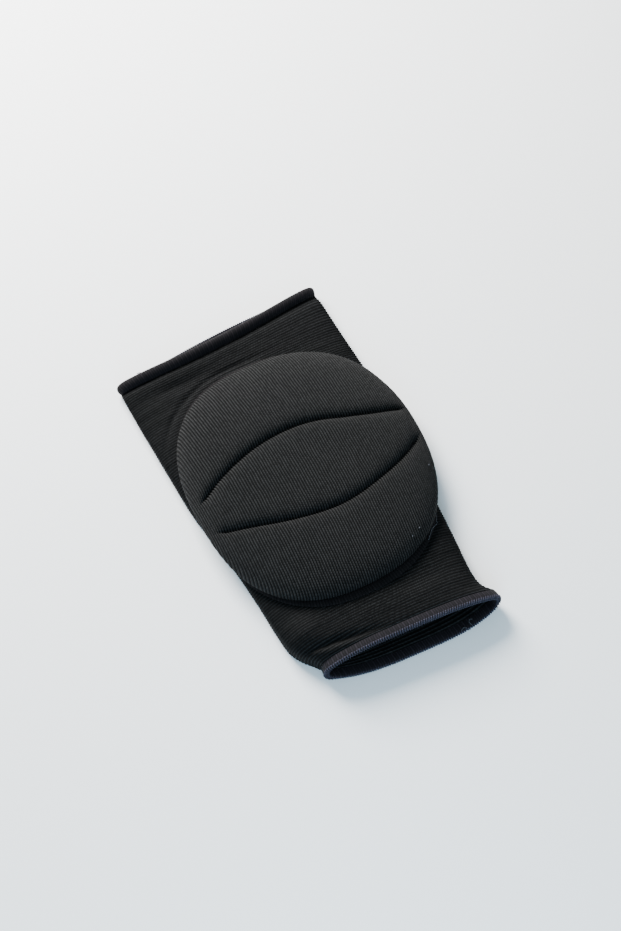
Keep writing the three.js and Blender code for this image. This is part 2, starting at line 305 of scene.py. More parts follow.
def grid_mesh(name, points, knit, wrap_rows=False, wrap_columns=True):
    """A mesh object from points[row, column], with knit coordinates for every corner of a face."""
    rows, columns = points.shape[:2]
    row_steps = rows if wrap_rows else rows - 1
    column_steps = columns if wrap_columns else columns - 1
    first = np.arange(row_steps)[:, None] * np.ones(column_steps, int)[None, :]
    second = np.arange(column_steps)[None, :] * np.ones(row_steps, int)[:, None]
    corners = [(first, second), (first, second + 1), (first + 1, second + 1), (first + 1, second)]
    faces = np.stack([(r % rows) * columns + (c % columns) for r, c in corners], -1).reshape(-1, 4)
    uv = np.stack([knit(r.astype(float), c.astype(float)) for r, c in corners], -2).reshape(-1, 2)
    mesh = bpy.data.meshes.new(name)
    mesh.vertices.add(rows * columns)
    mesh.vertices.foreach_set("co", (points.reshape(-1, 3) + SHIFT).ravel())
    mesh.loops.add(len(faces) * 4)
    mesh.loops.foreach_set("vertex_index", faces.ravel())
    mesh.polygons.add(len(faces))
    mesh.polygons.foreach_set("loop_start", np.arange(0, len(faces) * 4, 4))
    layer = mesh.uv_layers.new(name="knit")
    layer.data.foreach_set("uv", uv.ravel())
    mesh.update(calc_edges=True)
    mesh.validate()
    mesh.shade_smooth()
    print(name, "faces:", len(mesh.polygons))
    return in_scene(name, mesh)


def grid_normals(points, wrap_rows, wrap_columns):
    """The unit normal at each point of a grid."""
    def difference(axis, wrap):
        if wrap:
            return np.roll(points, -1, axis) - np.roll(points, 1, axis)
        return np.gradient(points, axis=axis)
    normal = np.cross(difference(1, wrap_columns), difference(0, wrap_rows))
    return normal / np.maximum(np.linalg.norm(normal, axis=-1, keepdims=True), 1e-12)


def wave_seeds(count, first, second):
    """Random waves: how often each runs along two ways, and where it starts."""
    return rng.uniform(-1, 1, (count, 3)) * (first, second, math.pi)


def ripple(a, b, seeds):
    """Soft unevenness between -1 and 1, from a few long waves with fixed directions."""
    total = 0.0
    for u, v, phase in seeds:
        total = total + np.sin(u * a + v * b + phase)
    return total / len(seeds)


def signed_power(value, power):
    """A power that keeps the sign, as superellipses need it."""
    return np.sign(value) * np.abs(value) ** power


print("half, squared off:", round(float(signed_power(0.5, 0.7)), 3))

# %% [markdown]
# The pad's cover is sewn to the front layer, and past the pad's thigh end its seam pulls that layer
# up in a low ridge. It could be painted as a bump, but a ridge of nearly a millimetre throws a
# shadow. So the sleeve's points are raised along the pad's outline, a little further out.

# %% The outline of the pad and the ridge along its seam

PAD_WIDTH = 153 * MM
PAD_LENGTH = 176 * MM
PAD_POWER = 2.37
PAD_ASIDE = 0.2 * MM
PAD_FORWARD = 0.6 * MM
RIDGE_HEIGHT = 0.9 * MM
RIDGE_WIDTH = 1.6 * MM
RIDGE_PAST_SIDE = 7 * MM
RIDGE_PAST_END = 9 * MM
RIDGE_ABOVE = 5 * MM


def pad_reach(across, height):
    """How far out a place lies in the pad's unit outline, a superellipse where this is 1."""
    return (np.abs(across) ** PAD_POWER + np.abs(height) ** PAD_POWER) ** (1 / PAD_POWER)


def seam_ridge(points):
    """The height of the ridge, which fades towards the middle and the right of the pad."""
    x = (points[..., 0] - PAD_ASIDE) / (PAD_WIDTH / 2 + RIDGE_PAST_SIDE)
    y = (points[..., 1] - PAD_FORWARD) / (PAD_LENGTH / 2 + RIDGE_PAST_END)
    away = (pad_reach(x, y) - 1) * PAD_LENGTH / 2
    where = smoothstep(y, 0.55, 0.85) * smoothstep(-x, -0.35, 0.1) * (points[..., 2] > RIDGE_ABOVE)
    return RIDGE_HEIGHT * np.exp(-(away / RIDGE_WIDTH) ** 2) * where


print("reach at 0.7, 0.7:", round(float(pad_reach(0.7, 0.7)), 3))

# %% [markdown]
# The sleeve is knitted round and round, so its ribs are rings, two or three pixels wide from where
# the camera stands. A bump map could draw them, but they would vanish from the outline. So they are
# real geometry, four rows of points to a rib, and only the stitches are left to the material. The
# inner face is smoother and needs one row to a rib.

# %% Sizes of the ribs

RIB_PITCH = 1.86 * MM
RIB_DEPTH = 0.72 * MM
RIB_STRENGTH = (0.92, 1.06)
RIB_STRAY = 0.35 * MM
# Where the cloth turns over a fold it is stretched, and this share of the ribs' depth is left
RIB_AT_FOLD = 0.08
SLEEVE_UNEVEN = 0.18 * MM
HEM_RISE, HEM_RISE_REACH = 1.7 * MM, 4 * MM
SLEEVE_RIBS = int(round(SLEEVE_LENGTH / RIB_PITCH))
ROWS_PER_RIB, SLEEVE_TURNS, STITCHES_ROUND = 4, 112, 220
print("ribs along the sleeve:", SLEEVE_RIBS)

# %% The sleeve


def ribbed_face(outside, at, turn):
    outer = at[:, None]
    swing = np.sin(2 * math.pi * turn)[None, :]
    normal = -grid_normals(outside, False, True)
    wander = ripple(outer * 2, swing * 3, wave_seeds(7, 34, 9))
    rib = 0.5 - 0.5 * np.cos(2 * math.pi * at * SLEEVE_RIBS)
    course = np.floor(at * SLEEVE_RIBS).astype(int).clip(0, SLEEVE_RIBS - 1)
    strength = rng.uniform(*RIB_STRENGTH, SLEEVE_RIBS)[course]
    depth = RIB_DEPTH * ((1 - rib) * strength)[:, None] + SLEEVE_UNEVEN * (1 + wander)
    level = smoothstep(np.abs(normal[..., 2]), 0.1, 0.8)
    to_mouth = np.minimum(at, 1 - at)
    edge = smoothstep(to_mouth, 0, 0.012)[:, None]
    edge = edge * (RIB_AT_FOLD + (1 - RIB_AT_FOLD) * level)
    from_hem = (1 - outer) * SLEEVE_LENGTH
    rise = HEM_RISE * np.exp(-(from_hem / HEM_RISE_REACH) ** 2)
    rise = rise * smoothstep(outside[..., 2], 4 * MM, 8 * MM)
    face = outside - normal * (depth * edge - rise - seam_ridge(outside))[..., None]
    stray = ripple(outer * 9, swing * 2, wave_seeds(8, 26, 12))
    face[..., 1] += RIB_STRAY * stray * smoothstep(to_mouth, 0, 0.05)[:, None]
    face[..., 2] = np.maximum(face[..., 2], 0)
    return face


def make_sleeve():
    """The closed wall: out along the inner face, and back along the outer one."""
    inner = np.linspace(0, 1, SLEEVE_RIBS + 1)
    outer = np.linspace(1, 0, SLEEVE_RIBS * ROWS_PER_RIB + 1)
    turn = np.linspace(0, 1, SLEEVE_TURNS, endpoint=False)
    inside = sleeve_point(inner[:, None], turn[None, :], WALL)
    outside = ribbed_face(sleeve_point(outer[:, None], turn[None, :], 0.0), outer, turn)
    rows = np.concatenate([inner, outer]) * SLEEVE_RIBS
    rows = np.append(rows, rows[0])

    def knit(row, column):
        return np.stack([rows[row.astype(int)], column / SLEEVE_TURNS * STITCHES_ROUND], -1)

    return grid_mesh("sleeve_cloth", np.concatenate([inside, outside]), knit, wrap_rows=True)


sleeve = make_sleeve()
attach(sleeve, "root")
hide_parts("sleeve")

# %% [markdown]
# The pad is foam under its own ribbed cover, sewn through along two channels. Inflating a cloth
# would give the crown, but a simulation smooths away seams as narrow as these. So the crown is a
# formula: the plan is a superellipse, a little wider at the thigh end, the edge turns down steeply,
# and each channel is a curve through a few places, where the cloth dips in a crease with soft
# shoulders.

# %% Sizes of the pad
PAD_THICKNESS = 18 * MM
PAD_SHEAR = 4.8 * MM
PAD_BEND = -4 * MM
PAD_TAPER = 0.04
DOME_POWER = 3.1
EDGE_POWER = 2.2
FOOT_WIDTH = 141 * MM
FOOT_LENGTH = 170 * MM
FOOT_HEIGHT = 2 * MM
RIM_RISE = 1.6 * MM
PAD_GAP = 0.4 * MM
CHANNEL_DEPTH = 4.6 * MM
CHANNEL_SHOULDER = 3.0 * MM
CHANNEL_SEAM = 0.7 * MM
# The share of the channel's depth that its soft shoulders have, and the rest is the sharp crease
SHOULDER_SHARE = 0.74
FLANGE_SIDE = 3.2 * MM
FLANGE_END = 7 * MM
FLANGE_THICKNESS = 1.1 * MM
FLANGE_GAP = 0.35 * MM
FLANGE_TO_FOLD = 0.8 * MM
print("pad in mm:", round(PAD_WIDTH / MM), round(PAD_LENGTH / MM), round(PAD_THICKNESS / MM))

# %% The two channels, as shares of the pad's half length

# Columns: at, lower channel, upper channel
CHANNELS = np.array([
    (0.00, -0.110, 0.090),
    (0.15, -0.235, 0.201),
    (0.32, -0.345, 0.288),
    (0.48, -0.398, 0.310),
    (0.60, -0.395, 0.283),
    (0.72, -0.345, 0.213),
    (0.86, -0.250, 0.155),
    (1.00, -0.085, 0.140),
])
# Both fade out between these shares of the half width, measured from a line a little to the right
CHANNEL_FADE, CHANNEL_ASIDE = (0.86, 0.975), 0.015
print("places along each channel:", len(CHANNELS))

# %% The pad's form


def plan(across, height, width, length):
    """A place of the unit outline in the plan, for an outline of the given width and length."""
    x = (PAD_ASIDE + across * width / 2 * (1 + PAD_TAPER * height)
         + PAD_SHEAR * height + PAD_BEND * height ** 2)
    return x, PAD_FORWARD + height * length / 2


def foot(across, height, rise):
    """A place on the pad's foot, or straight over it by rise."""
    x, y = plan(across, height, FOOT_WIDTH, FOOT_LENGTH)
    x, z = keep_on_layer(x, y, FLANGE_TO_FOLD + FLANGE_SIDE + FLANGE_GAP)
    return np.stack(np.broadcast_arrays(x, y, z + PAD_GAP + rise), -1)


def channel_away(across, height):
    """The distance to each channel, and how much of it is left towards its ends."""
    at = (across + 1) / 2
    fade = 1 - smoothstep(np.abs(across - CHANNEL_ASIDE), *CHANNEL_FADE)
    away = [np.abs(height - read_table(CHANNELS, column, at)) * PAD_LENGTH / 2 for column in (1, 2)]
    return away, fade


def pad_rise(across, height):
    radius = np.minimum(pad_reach(across, height), 1)
    dome = np.maximum(1 - radius ** DOME_POWER, 0) ** (1 / EDGE_POWER)
    rim = FOOT_HEIGHT + RIM_RISE
    away, fade = channel_away(across, height)
    sink = sum(CHANNEL_DEPTH * fade * (SHOULDER_SHARE * np.exp(-a / CHANNEL_SHOULDER)
                                       + (1 - SHOULDER_SHARE) * np.exp(-a / CHANNEL_SEAM))
               for a in away)
    return rim + (PAD_THICKNESS - rim) * dome - sink


def pad_top(across, height):
    low = foot(across, height, pad_rise(across, height))
    x, y = plan(across, height, PAD_WIDTH, PAD_LENGTH)
    return np.stack(np.broadcast_arrays(x, y, low[..., 2]), -1)


print("middle of the crown in mm:", (pad_top(0.0, 0.0) / MM).round(1))

# %% [markdown]
# The cover's ribs run along the leg. A texture could show them on a coarse mesh, but the side
# of the pad would look smooth. So the columns of the mesh lie at equal steps over the crown, four
# to a rib, and the ribs crowd together in the picture where the side turns down. Two of the rows
# follow the channels, because a crease is sharp only where a row of points lies in it.

# %% The pad's columns and rows

PAD_RIB_PITCH = 1.7 * MM
PAD_RIB_DEPTH = 0.65 * MM
PAD_RIB_ROUND = 0.8
PAD_UNEVEN = 0.3 * MM
PAD_STRAY = 0.35 * MM
PAD_STITCH = 1.5 * MM
COLUMNS_PER_RIB = 4
LOBE_ROWS = (38, 32, 44)
# The share of a lobe's rows that is spread evenly, while the rest crowd towards its edges
ROWS_EVEN = 0.25
# Near the pad's sides the channels' rows stay inside this share of a column's half length
CHANNEL_KEEP = 0.62
# The outermost columns stop just short of the side, where the outline has no length
OUTERMOST = 0.99997
# At the rim this share of the ribs' depth is left
RIB_AT_RIM = 0.25


def pad_columns():
    across = np.linspace(-1, 1, 20001)
    line = pad_top(across, np.zeros_like(across))
    length = np.append(0, np.cumsum(np.linalg.norm(np.diff(line, axis=0), axis=1)))
    ribs = int(round(length[-1] / PAD_RIB_PITCH))
    wanted = np.linspace(0, length[-1], ribs * COLUMNS_PER_RIB + 1)
    columns = np.interp(wanted, length, across)
    columns[0], columns[-1] = -OUTERMOST, OUTERMOST
    return columns, ribs


def pad_rows(across):
    """Rows from the shin end to the thigh end of each column. Two of them lie in the channels."""
    half = (1 - np.abs(across) ** PAD_POWER) ** (1 / PAD_POWER)
    at = (across + 1) / 2
    lower = np.maximum(read_table(CHANNELS, 1, at), -CHANNEL_KEEP * half)
    upper = np.minimum(read_table(CHANNELS, 2, at), CHANNEL_KEEP * half)
    edges = [-half, lower, upper, half]
    rows = []
    for first, last, count in zip(edges[:-1], edges[1:], LOBE_ROWS):
        for step in range(count):
            blend = (1 - math.cos(step / count * math.pi)) / 2
            blend = ROWS_EVEN * step / count + (1 - ROWS_EVEN) * blend
            rows.append(first + (last - first) * blend)
    rows.append(half)
    return np.array(rows)


def pad_face(columns, rows):
    """The ribbed upper face, and the number of the rib at each of its points."""
    across = np.broadcast_to(columns, rows.shape)
    face = pad_top(across, rows)
    normal = grid_normals(face, False, False)
    normal[normal[..., 2] < 0] *= -1
    rib_number = np.broadcast_to(np.arange(len(columns)) / COLUMNS_PER_RIB, rows.shape)
    rib = np.abs(np.sin(math.pi * rib_number)) ** PAD_RIB_ROUND
    uneven = ripple(across * 2, rows * 2, wave_seeds(9, 7, 9))
    reach = pad_reach(across, rows)
    calm = 1 - smoothstep(reach, 0.97, 1.0)
    drop = PAD_RIB_DEPTH * (1 - rib) + PAD_UNEVEN * (1 + uneven) * calm
    face = face - normal * (drop * (RIB_AT_RIM + (1 - RIB_AT_RIM) * calm))[..., None]
    stray = ripple(across * 2, rows * 2, wave_seeds(8, 12, 20))
    face[..., 0] += PAD_STRAY * stray * (1 - smoothstep(reach, 0.8, 0.95))
    return face, rib_number


print("rows from end to end of the pad:", sum(LOBE_ROWS) + 1)

# %% The pad's side and foot

# How far each ring has climbed from the foot to the rim, and how far in each one lies under it
SIDE_CLIMBS = (0.8, 0.6, 0.4, 0.2, 0.0)
FOOT_SHARES = (1.0, 0.92, 0.78, 0.6, 0.4, 0.2, 0.04)


def border_of(shape):
    """Once round the border of a grid, as its rows and its columns."""
    last_row, last_column = shape[0] - 1, shape[1] - 1
    border = ([(0, c) for c in range(last_column + 1)]
              + [(r, last_column) for r in range(1, last_row + 1)]
              + [(last_row, c) for c in range(last_column - 1, -1, -1)]
              + [(r, 0) for r in range(last_row - 1, 0, -1)])
    return np.array(border).T


def pad_rings(rim, across, height):
    """Rings from the rim down the pad's side, and then in under it."""
    low = foot(across, height, FOOT_HEIGHT)
    rings = []
    for climb in SIDE_CLIMBS:
        out, up = math.sin(climb * math.pi / 2), 1 - math.cos(climb * math.pi / 2)
        rings.append(low + (rim - low) * (out, out, up))
    rings.append(foot(across, height, FOOT_HEIGHT / 2))
    for share in FOOT_SHARES:
        rings.append(foot(across * share, height * share, 0.0))
    return np.array(rings)


def pad_faces(shape, border, ring_count):
    """Quads over the upper face and down the rings, and a fan that closes the foot."""
    rows, columns = shape
    around = len(border[0])
    r, c = np.meshgrid(np.arange(rows - 1), np.arange(columns - 1), indexing="ij")
    corner = r * columns + c
    quads = [np.stack([corner, corner + 1, corner + columns + 1, corner + columns],
                      -1).reshape(-1, 4)]
    loops = [border[0] * columns + border[1]]
    loops += [rows * columns + ring * around + np.arange(around) for ring in range(ring_count)]
    for upper, lower in zip(loops[:-1], loops[1:]):
        quads.append(np.stack([upper, lower, np.roll(lower, -1), np.roll(upper, -1)], -1))
    centre = rows * columns + ring_count * around
    fan = np.stack([loops[-1], np.full(around, centre), np.roll(loops[-1], -1)], -1)
    return np.concatenate(quads).tolist() + fan.tolist()


print("rings under the rim:", len(SIDE_CLIMBS) + 1 + len(FOOT_SHARES))

# %% The pad


def make_pad():
    columns, ribs = pad_columns()
    rows = pad_rows(columns)
    face, rib_number = pad_face(columns, rows)
    border = border_of(rows.shape)
    rim = face[border[0], border[1]]
    across, height = columns[border[1]], rows[border[0], border[1]]
    scale = pad_reach(across, height)
    across, height = across / scale, height / scale
    rings = pad_rings(rim, across, height)
    centre = foot(0.0, 0.0, 0.0)
    points = np.concatenate([face.reshape(-1, 3), rings.reshape(-1, 3), centre[None]])

    face_knit = np.stack([rib_number, rows * PAD_LENGTH / 2 / PAD_STITCH], -1)
    drops = np.linalg.norm(rings - rim, axis=-1) / PAD_STITCH
    outward = np.stack([across, height], -1)
    ring_knit = face_knit[border[0], border[1]] + drops[..., None] * outward
    knit = np.concatenate([face_knit.reshape(-1, 2), ring_knit.reshape(-1, 2), [[0, 0]]])

    mesh = bpy.data.meshes.new("pad_cover")
    mesh.from_pydata((points + SHIFT).tolist(), [], pad_faces(rows.shape, border, len(rings)))
    layer = mesh.uv_layers.new(name="knit")
    corners = np.array([loop.vertex_index for loop in mesh.loops])
    layer.data.foreach_set("uv", knit[corners].ravel())
    mesh.update(calc_edges=True)
    mesh.shade_smooth()
    print("pad_cover ribs:", ribs, "faces:", len(mesh.polygons))
    return in_scene("pad_cover", mesh)


pad = make_pad()
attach(pad, "root")
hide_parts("pad")

# %% [markdown]
# The cover's seam allowance is a flat flange round the pad's foot, and it is what holds the pad to
# the sleeve. A curve with a bevel could make it, but it has to follow the sleeve under it and grow
# wider towards the ends. So it is a ring of sections, each laid on the sleeve with a small gap.

# %% The flange

FLANGE_STEPS, FLANGE_SIDES = 1040, 16
FLANGE_STEPS_PER_STITCH = 4
FLANGE_ROUNDNESS = 0.7
FLANGE_RELIEF = 0.07 * MM


def unit_outline(angle):
    """Places of the pad's unit outline at angles round it."""
    return signed_power(np.cos(angle), 2 / PAD_POWER), signed_power(np.sin(angle), 2 / PAD_POWER)


def ring_turns(steps):
    angle = np.linspace(0, 2 * math.pi, 8001)
    across, height = unit_outline(angle)
    length = np.hypot(np.diff(across * PAD_WIDTH), np.diff(height * PAD_LENGTH))
    length = np.append(0, np.cumsum(length))
    return np.interp(np.linspace(0, length[-1], steps, endpoint=False), length, angle)


def flange_points(angle, turn):
    """Places on the flange: angle round the pad, and turn round the flange's own section."""
    across, height = unit_outline(angle)
    flat = signed_power(np.cos(turn), FLANGE_ROUNDNESS)
    out, up = (1 + flat) / 2, (1 + np.sin(turn)) / 2
    side, end = FLANGE_GAP + out * FLANGE_SIDE, FLANGE_GAP + out * FLANGE_END
    x, y = plan(across, height, FOOT_WIDTH + 2 * side, FOOT_LENGTH + 2 * end)
    x, z = keep_on_layer(x, y, FLANGE_TO_FOLD + (1 - out) * FLANGE_SIDE)
    return np.stack([x, y, z + FLANGE_GAP + up * FLANGE_THICKNESS], -1)


angle = ring_turns(FLANGE_STEPS)
turn = np.linspace(0, 2 * math.pi, FLANGE_SIDES, endpoint=False)
flange_grid = flange_points(*np.meshgrid(angle, turn, indexing="ij"))
stitch = np.sin(np.arange(FLANGE_STEPS) / FLANGE_STEPS_PER_STITCH * 2 * math.pi)
flange_grid[..., 2] += FLANGE_RELIEF * stitch[:, None] * (np.sin(turn) > 0.3)[None, :]


def flange_knit(row, column):
    return np.stack([row / FLANGE_STEPS_PER_STITCH, column / FLANGE_SIDES], -1)


flange = grid_mesh("flange_cloth", flange_grid, flange_knit, wrap_rows=True)
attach(flange, "root")
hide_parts("pad_seam")

# %% [markdown]
# Each mouth ends in a rolled hem: the cloth is turned over and overlocked. It could be the sleeve's
# own edge thickened with a modifier, but a hem is stiffer, keeps its own section, and is a piece of
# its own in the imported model. So a bar with a rounded section follows the edge of the sleeve. Its
# tail laps over the sleeve's edge, and at the front of the thigh mouth the roll stands up higher.

# %% Sizes of the hems

SHIN, THIGH = 0, 1
THIGH_STITCHES, SHIN_STITCHES = 194, 161
STEPS_PER_STITCH, HEM_SIDES = 4, 24
# The thigh hem is a round roll. The shin hem is squarer and thins out less towards the sleeve
HEM_ROUNDNESS = {SHIN: 0.62, THIGH: 0.85}
HEM_TAIL = {SHIN: 0.66, THIGH: 0.5}
HEM_OVERLAP = {SHIN: 1.2 * MM, THIGH: 0.7 * MM}
HEM_UNEVEN = 0.12 * MM
HEM_RELIEF = 0.04 * MM
HEM_TRIM = 0.16 * MM
ROLL_HEIGHT, ROLL_WIDTH = 3.0 * MM, 0.45 * MM
ROLL_FROM, ROLL_FULL = 4 * MM, 9 * MM
ROLL_LUMPS = 0.24
print("stitches round the hems:", SHIN_STITCHES, THIGH_STITCHES)

# %% The form of a hem


def hem_centre_line(at, turn):
    """The middle of the sleeve's wall at a mouth, and the way out from it across the wall."""
    outer = sleeve_point(at, turn, 0.0)
    inner = sleeve_point(at, turn, WALL)
    normal = (outer - inner) * (1, 0, 1)
    normal = normal / np.linalg.norm(normal, axis=-1, keepdims=True)
    return (outer + inner) / 2, normal


def even_turns(at, steps):
    turn = np.linspace(0, 1, 6001)
    line, _ = hem_centre_line(np.float64(at), turn)
    length = np.append(0, np.cumsum(np.linalg.norm(np.diff(line, axis=0), axis=1)))
    return np.interp(np.linspace(0, length[-1], steps, endpoint=False), length, turn), length[-1]


def hem_points(at, turn, angle, raised=0.0):
    """Places on a hem. The angle runs round its section: the sine is 1 at the rim of the mouth."""
    line, normal = hem_centre_line(np.float64(at), turn)
    outward = -1 if at == SHIN else 1
    thick = signed_power(np.cos(angle), HEM_ROUNDNESS[at])
    high = signed_power(np.sin(angle), HEM_ROUNDNESS[at])
    thin = 1 - (1 - HEM_TAIL[at]) * smoothstep(-high, -0.3, 1.0)
    place = line + normal * (thick * (HEM_THICKNESS / 2 * thin + raised))[..., None]
    tail = np.maximum(-high, 0) * (HEM_GAP + HEM_OVERLAP[at])
    place[..., 1] += outward * (HEM_GAP + HEM_HEIGHT / 2 + high * (HEM_HEIGHT / 2 + raised) - tail)
    return place


mouths = [round(float(even_turns(at, 1)[1]) / MM, 1) for at in (SHIN, THIGH)]
print("round the mouths in mm:", mouths)

# %% The hems


def roll_front(points, grid_turn, grid_angle, waves):
    """Rolls the front of the thigh hem up higher, with a few lumps."""
    front = smoothstep(points[..., 2], ROLL_FROM, ROLL_FULL)
    lumps = 1 + ROLL_LUMPS * ripple(grid_turn, 0 * grid_angle, waves * (0.3, 1, 1))
    points[..., 2] += ROLL_HEIGHT * np.maximum(np.cos(grid_angle), 0) * front * lumps
    points[..., 1] += ROLL_WIDTH * np.sin(grid_angle) * front


def make_hem(name, at, stitches):
    steps = stitches * STEPS_PER_STITCH
    turn, length = even_turns(at, steps)
    outward = -1 if at == SHIN else 1
    angle = -outward * np.linspace(0, 2 * math.pi, HEM_SIDES, endpoint=False)
    grid_turn, grid_angle = np.meshgrid(turn, angle, indexing="ij")
    waves = wave_seeds(6, 60, 2)
    uneven = ripple(grid_turn, grid_angle, waves)
    rib = np.cos(np.arange(steps) / STEPS_PER_STITCH * 2 * math.pi)[:, None]
    raised = HEM_UNEVEN * uneven + HEM_RELIEF * rib - HEM_TRIM
    points = hem_points(at, grid_turn, grid_angle, raised)
    if at == THIGH:
        roll_front(points, grid_turn, grid_angle, waves)
    points[..., 2] = np.maximum(points[..., 2], 0)

    def knit(row, column):
        return np.stack([row / STEPS_PER_STITCH, column / HEM_SIDES], -1)

    return grid_mesh(name, points, knit, wrap_rows=True), length


thigh_hem, thigh_round = make_hem("thigh_hem_cloth", THIGH, THIGH_STITCHES)
shin_hem, shin_round = make_hem("shin_hem_cloth", SHIN, SHIN_STITCHES)
for piece, node in ((thigh_hem, "thigh_hem"), (shin_hem, "shin_hem")):
    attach(piece, "root")
    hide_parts(node)

# %% [markdown]
# An overlocking thread runs over the edge as a row of slanting bars, and goes back inside the hem
# between them. A texture could show the bars, but not how they stand off the roll. So the thread is
# a thin tube on its real path, wound round the hem's own section.

# %% Threads

# The share of a stitch's thread that shows, and how far on it slants, as a share of a stitch
SHOWN, SLANT = 0.6, 0.25
RETURN_DEPTH = 0.9 * MM
EVEN_STEPS, STEPS_OF_THREAD = 40, 10


def thread_tube(name, path, radius, closed=True, sides=5):
    """A tube of thread along a path of points."""
    path = np.asarray(path, float)
    if closed:
        ahead = np.roll(path, -1, 0) - np.roll(path, 1, 0)
    else:
        ahead = np.gradient(path, axis=0)
    ahead = ahead / np.linalg.norm(ahead, axis=1, keepdims=True)
    side = np.cross(ahead, (0.0, 0.0, 1.0))
    flat = np.linalg.norm(side, axis=1, keepdims=True) < 1e-6
    side = np.where(flat, (1.0, 0.0, 0.0), side)
    side = side / np.linalg.norm(side, axis=1, keepdims=True)
    over = np.cross(side, ahead)
    turn = np.linspace(0, 2 * math.pi, sides, endpoint=False)
    ring = side[:, None] * np.cos(turn)[:, None] + over[:, None] * np.sin(turn)[:, None]
    points = path[:, None] + ring * radius
    return grid_mesh(name, points, lambda r, c: np.stack([r / 3, c / sides], -1), wrap_rows=closed)


def overlock(name, at, stitches, low, high, lift, radius):
    """Stitches over the section of a hem: each shows as a bar, and the thread returns inside."""
    even, _ = even_turns(at, stitches * EVEN_STEPS)
    even = np.append(even, 1.0)
    phase = np.arange(stitches * STEPS_OF_THREAD) / STEPS_OF_THREAD
    number, share = np.floor(phase), phase % 1
    shows = share < SHOWN
    across = np.where(shows, share / SHOWN, (1 - share) / (1 - SHOWN))
    onward = np.where(shows, SLANT * share / SHOWN,
                      SLANT + (1 - SLANT) * (share - SHOWN) / (1 - SHOWN))
    turn = np.interp((number + onward) * EVEN_STEPS, np.arange(len(even)), even)
    level = np.where(shows, lift, lift - RETURN_DEPTH * np.sin(math.pi * across))
    path = hem_points(at, turn, low + (high - low) * across, level)
    path[:, 2] = np.maximum(path[:, 2], radius)
    return thread_tube(name, path, radius)


# Columns: name, mouth, stitches, from and to as quarters of a turn, lift, radius
OVERLOCKS = [
    ("shin_hem_thread", SHIN, SHIN_STITCHES, 0.2, 0.8, 0.12 * MM, 0.36 * MM),
    ("shin_rim_thread", SHIN, SHIN_STITCHES, 1.0, 1.4, 0.0 * MM, 0.32 * MM),
    ("thigh_rim_thread", THIGH, THIGH_STITCHES, 1.25, 1.8, 0.0 * MM, 0.32 * MM),
]
QUARTER = math.pi / 2
threads = [overlock(name, at, stitches, low * QUARTER, high * QUARTER, lift, radius)
           for name, at, stitches, low, high, lift, radius in OVERLOCKS]

# %% [markdown]
# A used knee pad has a few thread ends at its hems and bits of lint on its cover. Hair particles
# could scatter them, but here each has its place. An end is a short tube through a few steps from
# its hem, and lint is a tube whose points are dropped onto the highest cloth under them.

# %% Loose thread ends

END_ANGLE = 1.6 * QUARTER


def resampled(stops, per_stop):
    """A path through a few stops, with more points on it."""
    steps = np.linspace(0, len(stops) - 1, per_stop * len(stops))
    return np.stack([np.interp(steps, np.arange(len(stops)), column) for column in stops.T], -1)


def rounded(path, rounds):
    """The path with its corners rounded off and its two ends kept."""
    for _ in range(rounds):
        path[1:-1] = (path[:-2] + path[1:-1] * 2 + path[2:]) / 4
    return path


def loose_end(name, start, ways, radius):
    """A short loose thread from a start point, through steps in millimetres."""
    stops = np.concatenate([[start], np.asarray(start) + np.cumsum(np.array(ways) * MM, 0)])
    return thread_tube(name, rounded(resampled(stops, 8), 4), radius, closed=False)


def on_back(at, turn, raised):
    return hem_points(at, np.array([turn]), np.array([END_ANGLE]), raised)[0]


ends = [
    loose_end("shin_end_a", on_back(SHIN, 0.055, 0.3 * MM),
              [(2.2, 1.0, 0.6), (1.5, -1.2, 0.2), (-0.6, -1.6, 0.2), (1.8, -0.4, -0.3)], 0.16 * MM),
    loose_end("shin_end_b", on_back(SHIN, 0.07, 0.3 * MM),
              [(-0.8, 2.0, 0.8), (1.2, 1.4, 0.3), (1.6, -0.8, 0.0)], 0.16 * MM),
    loose_end("thigh_end", on_back(THIGH, 0.915, 0.4 * MM),
              [(-1.2, 1.2, 0.8), (1.0, 1.4, 0.4), (1.4, -0.8, 0.2), (-1.6, -0.9, 0.3),
               (-0.8, 1.8, -0.4)], 0.22 * MM),
]

# %% Lint

LINT_WANDER = 0.25 * MM
trees = [BVHTree.FromPolygons([v.co for v in piece.data.vertices],
                              [tuple(face.vertices) for face in piece.data.polygons])
         for piece in (sleeve, pad, flange, thigh_hem)]


def cloth_height(x, y):
    """The height of the highest cloth over a place of the plan."""
    hits = [tree.ray_cast(Vector((x + SHIFT[0], y + SHIFT[1], 0.1)), Vector((0, 0, -1)))[0]
            for tree in trees]
    return max([hit.z for hit in hits if hit is not None], default=0.0) - SHIFT[2]


def lint(name, stops, radius):
    """A fine stray fibre lying on the cloth through places of the plan, in millimetres."""
    path = resampled(np.array(stops) * MM, 5)
    path = path + rng.uniform(-1, 1, path.shape) * LINT_WANDER
    heights = np.array([[cloth_height(x, y)] for x, y in path])
    path = np.append(path, heights + radius, 1)
    return thread_tube(name, rounded(path, 2), radius, closed=False)


ends += [
    lint("lint_a", [(53.6, -61.5), (50.9, -65.4), (51.6, -66.4), (45.4, -69.7), (42.2, -72.7),
                    (38.6, -76.3)], 0.17 * MM),
    lint("lint_b", [(65.0, -32.2), (66.0, -31.6)], 0.3 * MM),
    lint("lint_c", [(34.6, -70.9), (35.7, -70.2)], 0.25 * MM),
    lint("lint_d", [(27.9, -74.4), (28.5, -73.3)], 0.22 * MM),
]
for piece in threads + ends:
    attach(piece, "root")
